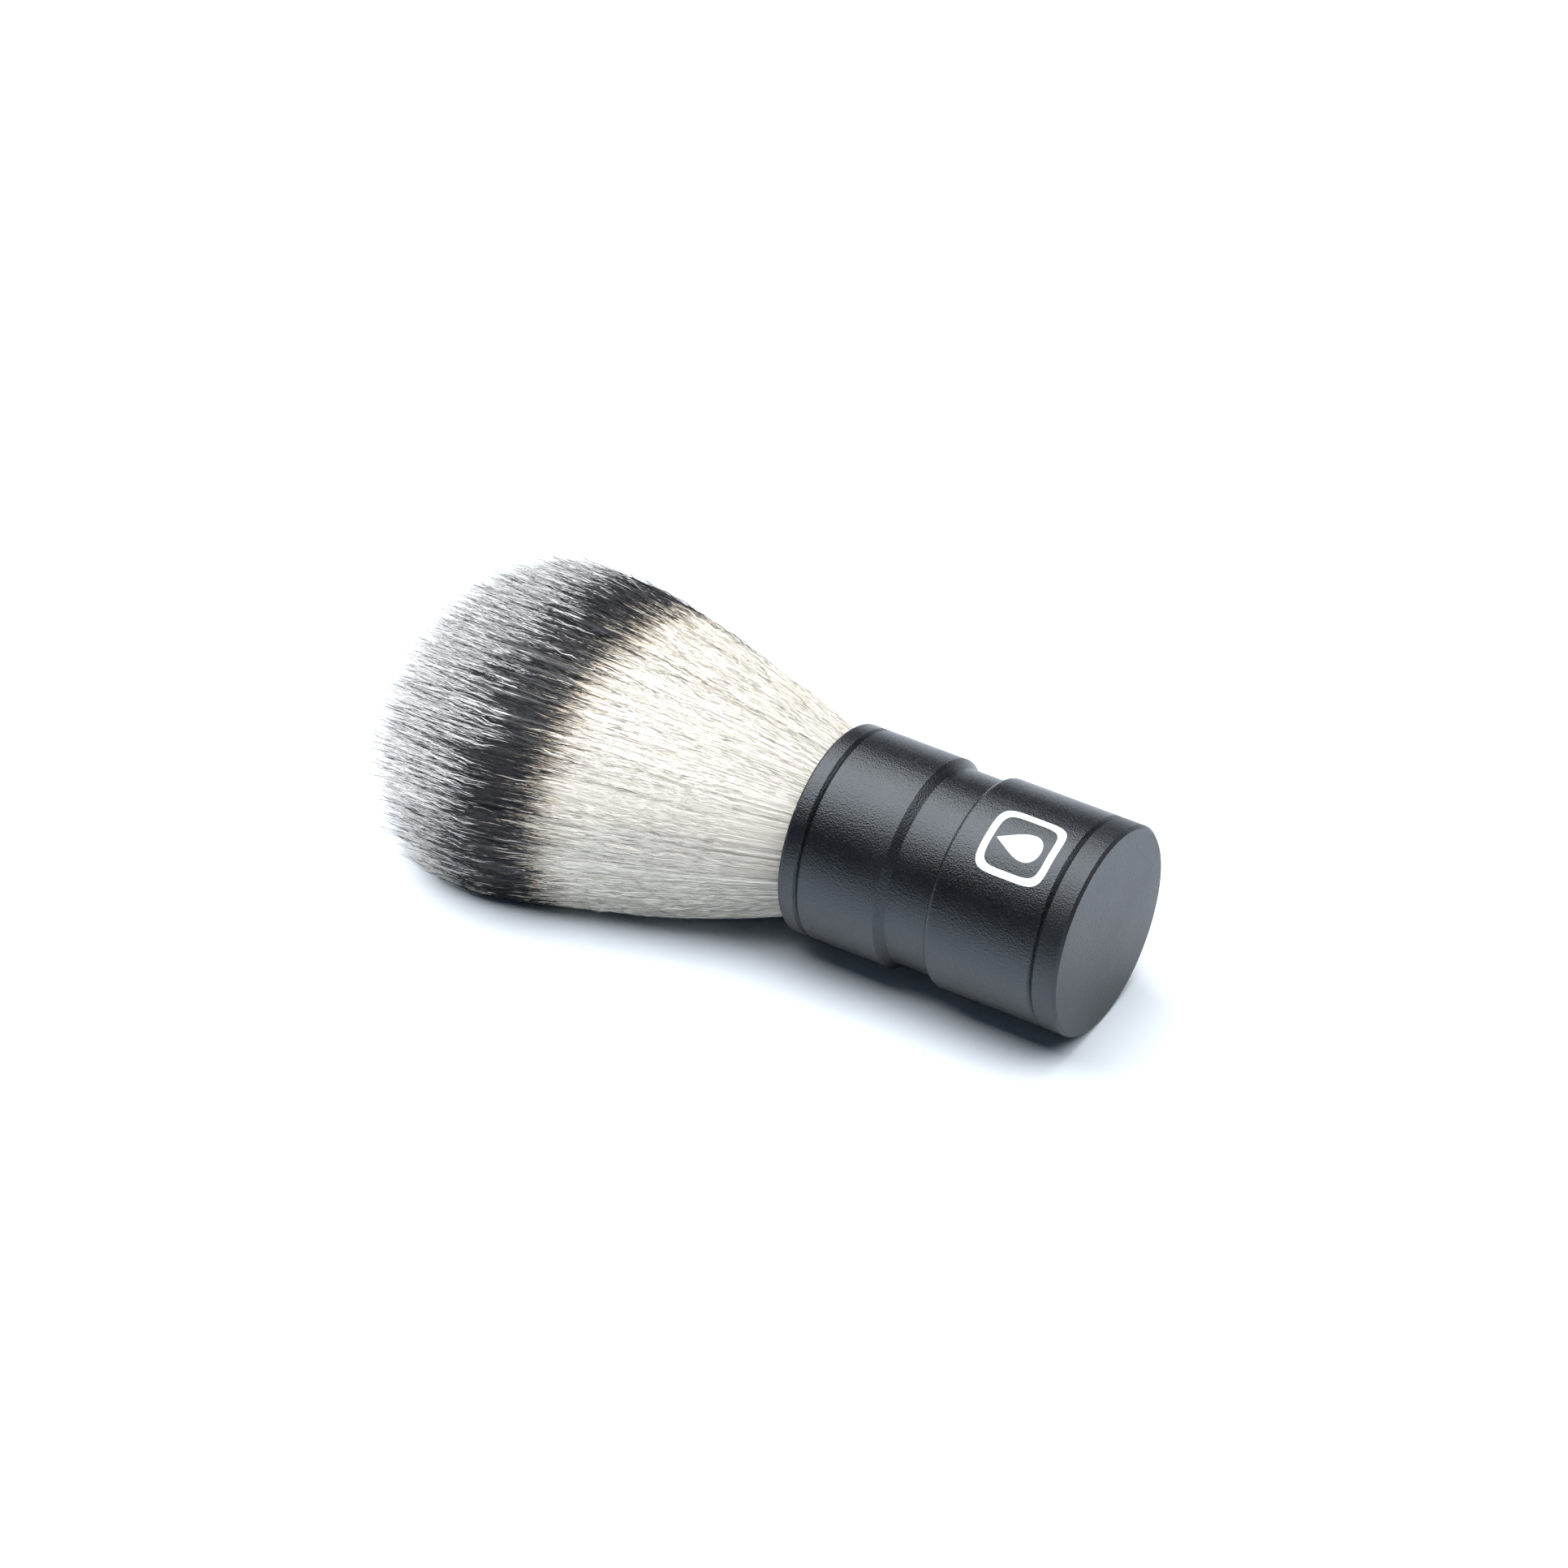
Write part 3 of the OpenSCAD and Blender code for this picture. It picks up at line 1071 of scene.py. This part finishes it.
    def strays(self) -> Strands:
        """Loose fibres that stand off the tuft, most of them round the tips and along the top.

        Returns:
            The fibres.
        """
        n = self.strays_count
        angle = self.random.uniform(-0.6, math.pi + 0.6, n)
        reach = self.random.uniform(0.95, 0.985, n)
        tip = self.tip_at(reach) + self._between(-6, 2.5, n)
        return self._batch(angle, reach, tip, self._between(20, 40, n), self._between(0.045, 0.06, n),
                           self._between(0.4, 1.6, n), self._between(-2, 6, n))

    def wisps(self) -> Strands:
        """Dark fibres that have slipped back and lie over the cream ones.

        Returns:
            The fibres.
        """
        n = self.wisps_count
        angle = np.where(np.arange(n) % 3 == 0, self.random.uniform(0, 2 * math.pi, n),
                         self.random.normal(0.45, 0.3, n))
        reach = self.random.uniform(0.975, 1.0, n)
        tip = self.belly_at + self._between(-16, 4, n)
        return self._batch(angle, reach, tip, self._between(8, 26, n), self._between(0.045, 0.06, n),
                           self._between(0.1, 1.1, n), np.full(n, self.wisp_shade), stretch=0.05)

    # meshes

    @staticmethod
    def strand_blank(segments: int) -> tuple[np.ndarray, np.ndarray, list[list[int]]]:
        """Models one straight three-sided strand with a closed root and a pointed tip.

        Args:
            segments: How many lengths the strand has.

        Returns:
            Each vertex's share of the length, each vertex's side (0, 1, 2, or -1 at the tip),
            and the faces.
        """
        deselect_all()
        bpy.ops.mesh.primitive_circle_add(vertices=3, radius=1.0, fill_type="NGON")
        blank = bpy.context.object
        bpy.ops.object.mode_set(mode="EDIT")
        bpy.ops.mesh.select_all(action="SELECT")
        for _ in range(segments):
            bpy.ops.mesh.extrude_region_move(TRANSFORM_OT_translate={"value": (0.0, 0.0, 1.0)})
        bpy.ops.mesh.merge(type="CENTER")
        face_outward()
        places = np.array([v.co for v in blank.data.vertices], float)
        faces = [list(p.vertices) for p in blank.data.polygons]
        share = places[:, 2] / places[:, 2].max()
        turn = np.arctan2(places[:, 1], places[:, 0]) + 2 * math.pi
        side = np.round(turn / (2 * math.pi / 3) * 2).astype(int) // 2 % 3
        side[np.hypot(places[:, 0], places[:, 1]) < 0.1] = -1
        bpy.data.objects.remove(blank)
        return share, side, faces

    def paths(self, batch: Strands, segments: int) -> np.ndarray:
        """Lays each fibre along the flow, with its clump, its wander and its crimp.

        Args:
            batch: The fibres.
            segments: How many lengths each fibre has.

        Returns:
            The points of each fibre, from root to tip.
        """
        n = len(batch)
        t = np.linspace(0, 1, segments + 1)[None, :]
        u = batch.start[:, None] + (batch.end - batch.start)[:, None] * t
        clump = self._clump(batch)
        pull = self.gather * smoothstep((u - self.lean_from) / self.lean_over)
        wander_y = self._wander(n, u, clump)
        wander_z = self._wander(n, u, clump + SECOND_PHASE)
        across = batch.across[:, None] * (1 - pull) + self.clump_across[clump][:, None] * pull
        above = batch.above[:, None] * (1 - pull) + self.clump_above[clump][:, None] * pull
        points = self.place(across + wander_y, above + wander_z, u)
        outward = np.stack([np.zeros_like(u), across, above], axis=-1)
        outward /= np.maximum(np.linalg.norm(outward, axis=-1, keepdims=True), 1e-3)
        sideways = np.stack([np.zeros_like(u), -outward[..., 2], outward[..., 1]], axis=-1)
        flip = np.where(np.arange(segments + 1) % 2 == 0, 1.0, -1.0)[None, :]
        size = self.random.uniform(*self.crimp, (n, 1)) * MM * smoothstep(u / (14 * MM))
        bend = flip * size * self.random.uniform(0.5, 1.3, u.shape)
        lean = self.random.uniform(0, 2 * math.pi, (n, 1))
        points += sideways * (bend * np.cos(lean))[..., None]
        points += outward * (bend * np.sin(lean) + batch.lift[:, None] * t ** 2)[..., None]
        floor = self.floor_gap * 0.6
        points[..., 2] = np.maximum(points[..., 2], floor)
        return points

    def _clump(self, batch: Strands) -> np.ndarray:
        """Which clump each fibre belongs to."""
        across = batch.across[:, None] - self.clump_across
        above = batch.above[:, None] - self.clump_above
        return np.argmin(across ** 2 + above ** 2, axis=1)

    def _wander(self, count: int, u: np.ndarray, clump: np.ndarray) -> np.ndarray:
        """Slow side-to-side drift, mostly shared by the fibres of a clump.

        Args:
            count: How many fibres there are.
            u: Distance past the rim plane along each fibre.
            clump: The clump of each fibre.

        Returns:
            The drift, as a share of the tuft's size.
        """
        phase = (clump * GOLDEN_ANGLE)[:, None] % (2 * math.pi)
        own = self.random.uniform(0, 2 * math.pi, (count, 1))
        grow = smoothstep(u / (25 * MM))
        slow = np.sin(2 * math.pi * u / self.drift_length + phase) * self.drift
        quick = np.sin(2 * math.pi * u / self.quiver_length + own) * self.quiver
        return grow * (slow + quick)

    def mesh(self, name: str, batch: Strands, segments: int) -> bpy.types.Object:
        """Turns a batch of fibres into one piece.

        Args:
            name: The piece's name.
            batch: The fibres.
            segments: How many lengths each fibre has.

        Returns:
            The piece, with its UV map and finish.
        """
        share, side, faces = self.strand_blank(segments)
        points = self.paths(batch, segments)
        n, verts = len(batch), len(share)
        along = np.gradient(points, axis=1)
        along /= np.linalg.norm(along, axis=-1, keepdims=True)
        up = np.array([0.0, 0.31, 0.95])
        first = np.cross(along, up)
        first /= np.linalg.norm(first, axis=-1, keepdims=True)
        second = np.cross(along, first)
        ring = np.round(share * segments).astype(int)
        turn = side * 2 * math.pi / 3
        thin = np.clip((share - self.taper_from) / (1 - self.taper_from), 0, 1) ** 2
        taper = np.where(side < 0, 0.0, 1.0 - self.taper * thin)
        spin = self.random.uniform(0, 2 * math.pi, (n, 1))
        wide = (batch.thick[:, None] * taper[None, :])[..., None]
        cos, sin = np.cos(turn + spin)[..., None], np.sin(turn + spin)[..., None]
        places = points[:, ring] + wide * (first[:, ring] * cos + second[:, ring] * sin)

        loops = np.array([v for face in faces for v in face])
        starts = np.cumsum([0] + [len(face) for face in faces])
        mesh = bpy.data.meshes.new(name)
        mesh.vertices.add(n * verts)
        mesh.vertices.foreach_set("co", places.reshape(-1).astype(np.float32))
        offset = np.arange(n)[:, None]
        mesh.loops.add(n * len(loops))
        mesh.loops.foreach_set("vertex_index", (loops[None, :] + offset * verts).reshape(-1))
        mesh.polygons.add(n * len(faces))
        mesh.polygons.foreach_set("loop_start", (starts[None, :-1] + offset * len(loops)).reshape(-1))
        mesh.update(calc_edges=True)
        self._map(mesh, batch, share, side, faces, loops)
        piece = bpy.data.objects.new(name, mesh)
        bpy.context.scene.collection.objects.link(piece)
        mesh.shade_smooth()
        mesh.materials.append(self.material)
        LOG.info("%s: %d fibres, %d faces", name, n, len(mesh.polygons))
        return piece

    def _map(self, mesh, batch: Strands, share, side, faces, loops) -> None:
        """Gives each fibre its kind in U and its distance from the tip in V.

        Args:
            mesh: The piece's mesh.
            batch: The fibres.
            share: Each blank vertex's share of the length.
            side: Each blank vertex's side.
            faces: The blank's faces.
            loops: The blank's loops, face after face.
        """
        edge = []
        for face in faces:
            sides = sorted({side[v] for v in face if side[v] >= 0})
            first = 2 if sides == [0, 2] else sides[0]
            edge += [0.5 if side[v] < 0 else (0.1 if side[v] == first else 0.9) for v in face]
        n = len(batch)
        kind = self.random.integers(0, FIBRE_KINDS, n)[:, None]
        length = ((batch.end - batch.start) * batch.stretch)[:, None]
        back = (1 - share[loops])[None, :] * length + batch.back_shift[:, None]
        u = (kind + np.array(edge)[None, :]) / FIBRE_KINDS
        v = np.clip(1 - back / UV_REACH, 0.001, 0.999)
        layer = mesh.uv_layers.new(name=UV_NAME)
        layer.uv.foreach_set("vector", np.stack([u, v], axis=-1).reshape(-1).astype(np.float32))

    def core(self) -> bpy.types.Object:
        """The dense inside of the tuft, seen only between the fibres.

        Returns:
            The piece, in the same finish as the fibres.
        """
        deselect_all()
        columns, rings = 256, 96
        bpy.ops.mesh.primitive_uv_sphere_add(segments=columns, ring_count=rings, radius=1.0)
        piece = bpy.context.object
        piece.name = "tuft_core"
        mesh = piece.data
        sphere = np.array([v.co for v in mesh.vertices], float)
        turn = np.arctan2(sphere[:, 1], sphere[:, 0])
        polar = np.arccos(np.clip(sphere[:, 2], -1, 1)) / math.pi
        rise = np.clip(polar / self.core_root, 0, 1)
        run = np.clip((polar - self.core_root) / (self.core_dome - self.core_root), 0, 1)
        close = np.clip((polar - self.core_dome) / (1 - self.core_dome), 0, 1) * math.pi / 2
        n = self.dome_power
        shoulder = self.belly_at - self.core_depth / 2
        wide = self.core_reach * rise * np.cos(close) ** (2 / n)
        u = shoulder * run + (self.loft - self.core_depth - shoulder) * np.sin(close) ** (2 / n)
        ridge = 1 + 0.008 * np.sin(turn * 61 + 3 * np.sin(turn * 7)) * rise
        points = self.place(wide * ridge * np.cos(turn), wide * ridge * np.sin(turn), u)
        mesh.vertices.foreach_set("co", points.reshape(-1).astype(np.float32))
        mesh.update()
        self._map_core(mesh, turn, u, columns)
        face_outward()
        mesh.shade_smooth()
        mesh.materials.append(self.solid_material)
        return piece

    def _map_core(self, mesh: bpy.types.Mesh, turn: np.ndarray, u: np.ndarray, columns: int) -> None:
        """Gives the core several fibre kinds in each column of faces.

        Args:
            mesh: The core's mesh.
            turn: Each vertex's angle round the axis.
            u: Each vertex's distance past the rim plane.
            columns: How many columns of faces there are.
        """
        while mesh.uv_layers:
            mesh.uv_layers.remove(mesh.uv_layers[0])
        layer = mesh.uv_layers.new(name=UV_NAME)
        step = 2 * math.pi / columns
        repeat = FIBRE_KINDS // KINDS_A_COLUMN
        for face in mesh.polygons:
            turns = [turn[v] for v in face.vertices]
            if max(turns) - min(turns) > math.pi:
                turns = [a + 2 * math.pi if a < 0 else a for a in turns]
            middle = sum(turns) / len(turns)
            if len(turns) == 3:
                middle = math.atan2(face.center.z - self.sizes.axis_z, face.center.y)
            first = math.floor(middle / step)
            for loop, vertex, angle in zip(face.loop_indices, face.vertices, turns):
                part = min(max(angle / step - first, 0.0), 1.0)
                back = max(self.loft - self.core_lag - u[vertex], self.core_depth)
                layer.uv[loop].vector = ((first % repeat + part) / repeat, 1 - back / UV_REACH)

    def build(self) -> None:
        """Makes every layer, bakes its placement into its mesh, and hides the plain solid."""
        core = self.core()
        self._hang(core)
        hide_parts("bristle_tuft", "bristle_root")
        layers = ((TuftLayer.SHELL, self.shell(), 30, 4), (TuftLayer.ENDS, self.ends(), 12, 6),
                  (TuftLayer.STRAYS, self.strays(), 18, 1), (TuftLayer.WISPS, self.wisps(), 14, 1))
        for layer, batch, segments, pieces in layers:
            order = np.argsort(np.arctan2(batch.above, batch.across), kind="stable")
            for i, chosen in enumerate(np.array_split(order, pieces)):
                name = layer.value if pieces == 1 else f"{layer.value}_{i + 1}"
                piece = self.mesh(name, batch.part(chosen), segments)
                self._hang(piece)

    def _hang(self, piece: bpy.types.Object) -> None:
        """Bakes a layer's placement into its mesh."""
        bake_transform(piece)


# --------------------------------------------------------------------------- studio

@dataclass
class Studio:
    """The pale floor, the soft lights and the camera.

    Attributes:
        azimuth: Where the camera stands round the brush, in degrees.
        elevation: How high the camera looks from, in degrees.
        distance: From the camera to the point it looks at.
        lens: Focal length, in millimetres.
        aim: The point on the floor that the camera looks at.
    """

    azimuth: float = 30.97
    elevation: float = 39.16
    distance: float = 0.895
    lens: float = 141.4
    aim: tuple[float, float, float] = (-0.00965, 0.0210, 0.0)

    def camera(self) -> None:
        """Makes the camera and gives it to the scene."""
        a, e = math.radians(self.azimuth), math.radians(self.elevation)
        back = Vector((math.sin(a) * math.cos(e), -math.cos(a) * math.cos(e), math.sin(e)))
        data = bpy.data.cameras.new("studio_camera")
        data.lens = self.lens
        data.sensor_width = 36.0
        data.clip_start, data.clip_end = 0.01, 50.0
        camera = bpy.data.objects.new("studio_camera", data)
        camera.location = Vector(self.aim) + back * self.distance
        camera.rotation_mode = "QUATERNION"
        camera.rotation_quaternion = (-back).to_track_quat("-Z", "Y")
        bpy.context.scene.collection.objects.link(camera)
        bpy.context.scene.camera = camera

    def floor(self) -> None:
        """Makes the wide pale floor."""
        deselect_all()
        bpy.ops.mesh.primitive_plane_add(size=12.0, location=(0.0, 0.0, 0.0))
        floor = bpy.context.object
        floor.name = "studio_floor"
        floor.data.materials.append(FloorFinish().build("pale_floor"))

    def light(self, name: str, place: tuple[float, float, float], size: tuple[float, float],
              power: float) -> None:
        """Adds one soft rectangular light that faces the brush.

        Args:
            name: The light's name.
            place: Where it stands.
            size: Its width and height.
            power: Its power in watts.
        """
        data = bpy.data.lights.new(name, "AREA")
        data.shape = "RECTANGLE"
        data.size, data.size_y = size
        data.energy = power
        lamp = bpy.data.objects.new(name, data)
        lamp.location = place
        toward = Vector((0.0, 0.0, 0.02)) - Vector(place)
        lamp.rotation_mode = "QUATERNION"
        lamp.rotation_quaternion = toward.to_track_quat("-Z", "Y")
        bpy.context.scene.collection.objects.link(lamp)

    def world(self) -> None:
        """A dim, slightly cool surround."""
        world = bpy.data.worlds.new("studio_world")
        world.use_nodes = True
        backdrop = world.node_tree.nodes["Background"]
        backdrop.inputs["Color"].default_value = (0.6, 0.8, 1.0, 1.0)
        backdrop.inputs["Strength"].default_value = 0.08
        bpy.context.scene.world = world

    def build(self) -> None:
        """Sets up the whole studio."""
        self.camera()
        self.floor()
        self.world()
        self.light("overhead_softbox", (-0.40, 0.095, 0.955), (1.2, 1.53), 29.0)
        self.light("side_softbox", (0.50, 0.15, 0.85), (0.7, 0.7), 6.0)
        view = bpy.context.scene.view_settings
        view.view_transform = "Standard"
        view.look = "None"
        view.exposure = 0.0


def main() -> None:
    """Builds the studio, the handle, the mark and the tuft, in that order."""
    logging.basicConfig(level=logging.INFO, format="%(name)s: %(message)s")
    sizes = BrushSizes.from_frame()
    Studio().build()
    LOG.info("studio ready")
    Handle(sizes).dress()
    mark = PrintedMark(sizes).build()
    LOG.info("%s: %d faces", mark.name, len(mark.data.polygons))
    Tuft(sizes).build()


if __name__ == "__main__":
    main()
